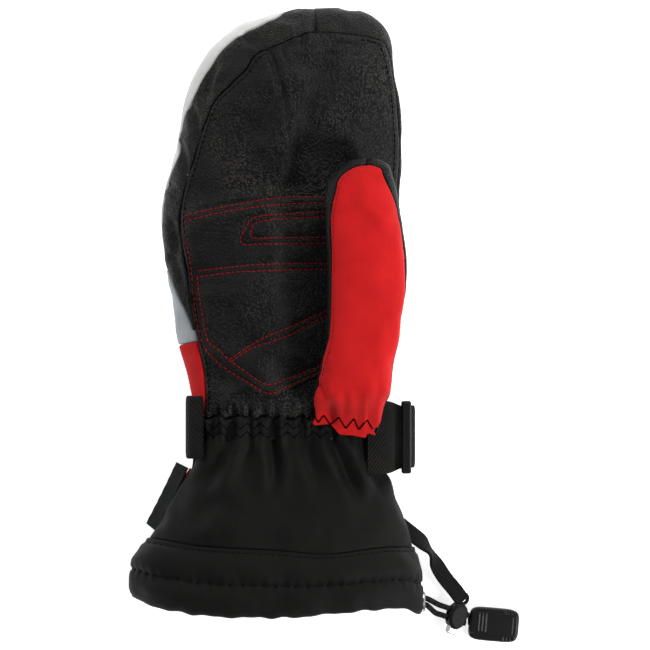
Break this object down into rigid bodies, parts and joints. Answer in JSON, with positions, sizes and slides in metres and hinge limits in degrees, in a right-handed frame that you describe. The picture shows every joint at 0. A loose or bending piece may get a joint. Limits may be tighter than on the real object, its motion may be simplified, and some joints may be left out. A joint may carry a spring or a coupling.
{
  "type": "ski mitten",
  "caption": "Insulated right-hand ski mitten: leather palm, fabric back, separate thumb, strapped wrist and a flared cuff closed by a drawcord.",
  "frame": {"origin": "middle of the mitten's box at the level that the back of the hand rests on", "axes": "+Y from the cuff to the fingertip, +Z out of the palm, +X towards the thumb's side"},
  "size_m": [0.205, 0.3354, 0.0703],
  "materials": {
    "leather_black": "pebble-grained goat leather, semi-gloss",
    "softshell_black": "matt woven softshell",
    "softshell_red": "matt woven softshell",
    "softshell_white": "matt woven softshell",
    "reflective_grey": "reflective coated fabric",
    "webbing_black": "ribbed twill webbing",
    "plastic_black": "fine satin",
    "clear_plastic": "clear, gloss",
    "rubber_black": "satin",
    "cord_black": "braided",
    "membrane_white": "smooth film",
    "insulation_grey": "fibre wadding",
    "lining_black": "brushed fleece",
    "hook_tape_black": "hook and loop tape",
    "label_black": "woven label, plain",
    "piping_red": "satin piping",
    "eyelet_steel": "polished",
    "spring_steel": "bright wire"
  },
  "bodies": {
    "mitten": {"palm_panel": "leather_black", "palm_heel_patch": "leather_black", "pinky_side_gusset": "leather_black", "index_side_gusset": "leather_black", "back_finger_panel": "softshell_white", "back_reflective_panel": "reflective_grey", "back_wrist_panel": "softshell_red", "hand_membrane": "membrane_white", "hand_insulation": "insulation_grey", "hand_lining": "lining_black", "gauntlet_palm_panel": "softshell_black", "gauntlet_back_panel": "softshell_black", "gauntlet_lining": "lining_black", "wrist_elastic": "webbing_black", "hem_band": "softshell_black", "hem_facing": "softshell_black", "pinky_seam_piping": "piping_red", "woven_label": "label_black", "strap_anchor_loop": "webbing_black", "wrist_strap": "webbing_black", "loop_tape": "hook_tape_black", "cord_eyelet": "eyelet_steel", "drawcord_strand_a": "cord_black", "drawcord_strand_b": "cord_black", "hem_drawcord": "cord_black", "tether_tape": "webbing_black"},
    "thumb": {"thumb_back_panel": "softshell_red", "thumb_palm_panel": "leather_black", "thumb_membrane": "membrane_white", "thumb_insulation": "insulation_grey", "thumb_lining": "lining_black"},
    "ring": {"strap_ring": "plastic_black"},
    "strap_tail": {"strap_tail": "webbing_black", "hook_tape": "hook_tape_black", "strap_end_tab": "rubber_black"},
    "cord_lock": {"cord_lock_body": "plastic_black", "cord_lock_spring": "spring_steel"},
    "lock_plunger": {"cord_lock_plunger": "clear_plastic"},
    "pull_tab": {"pull_tab": "rubber_black"}
  },
  "joints": [
    {"name": "thumb_swing", "type": "hinge", "parent": "mitten", "child": "thumb", "pos_m": [0.038, -0.028, 0.045], "axis": [0, 0, -1], "range_deg": [0, 40]},
    {"name": "ring_swing", "type": "hinge", "parent": "mitten", "child": "ring", "pos_m": [0.0672, -0.0655, 0.021], "axis": [0, 1, 0], "range_deg": [-6, 6]},
    {"name": "strap_tail_peel", "type": "hinge", "parent": "mitten", "child": "strap_tail", "pos_m": [0.0672, -0.0655, 0.0092], "axis": [0, -1, 0], "range_deg": [0, 180]},
    {"name": "cord_lock_slide", "type": "slide", "parent": "mitten", "child": "cord_lock", "axis": [-0.8805, 0.3302, 0.3402], "range_m": [0, 0.006], "deforming": ["tether_tape"]},
    {"name": "lock_plunger_press", "type": "slide", "parent": "cord_lock", "child": "lock_plunger", "axis": [0.3511, 0.9363, 0], "range_m": [0, 0.0012], "stiffness_N_per_m": 400, "springref_m": -0.002, "deforming": ["cord_lock_spring"]},
    {"name": "pull_tab_swing", "type": "hinge", "parent": "mitten", "child": "pull_tab", "pos_m": [0.101, -0.1627, 0.0033], "axis": [0, 0, 1], "range_deg": [-25, 14]}
  ]
}
